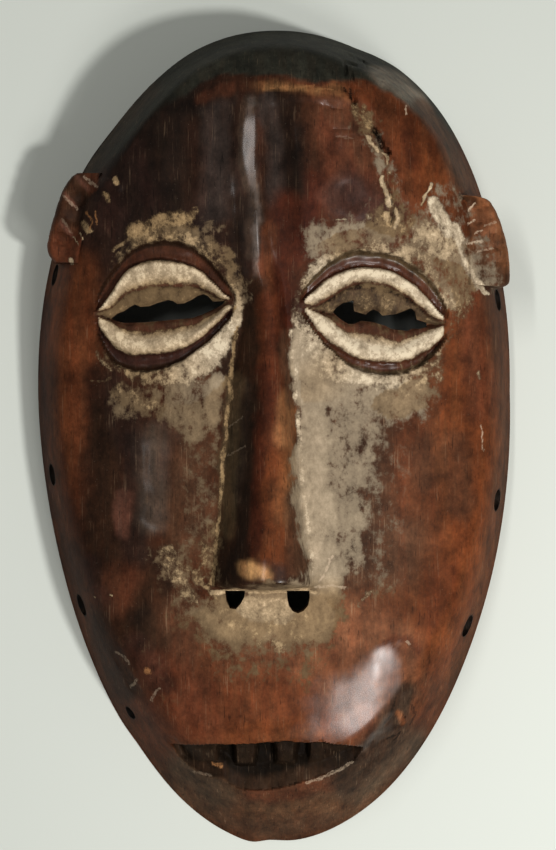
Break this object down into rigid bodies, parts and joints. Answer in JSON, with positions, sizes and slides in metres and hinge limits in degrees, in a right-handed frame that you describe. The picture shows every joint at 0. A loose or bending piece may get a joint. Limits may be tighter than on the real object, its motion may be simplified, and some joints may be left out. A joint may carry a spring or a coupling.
{
  "type": "lega mask",
  "caption": "Hollow carved wooden face mask, egg-shaped, with long wedge nose, slit lens eyes in round sockets, toothed mouth, small ears and rim cord holes.",
  "frame": {"origin": "centre of the bounding box in plan, on the flat back face of the rim", "axes": "+Z out of the face, away from the rim; +Y towards the crown; +X towards the right of a person looking at the face"},
  "size_m": [0.1631, 0.2803, 0.0605],
  "materials": {
    "patinated_wood": "dark red-brown carved wood with a worn, waxed shine and remains of white clay on the eyelids and cheeks"
  },
  "bodies": {
    "root": {"mask": "patinated_wood"}
  },
  "joints": []
}
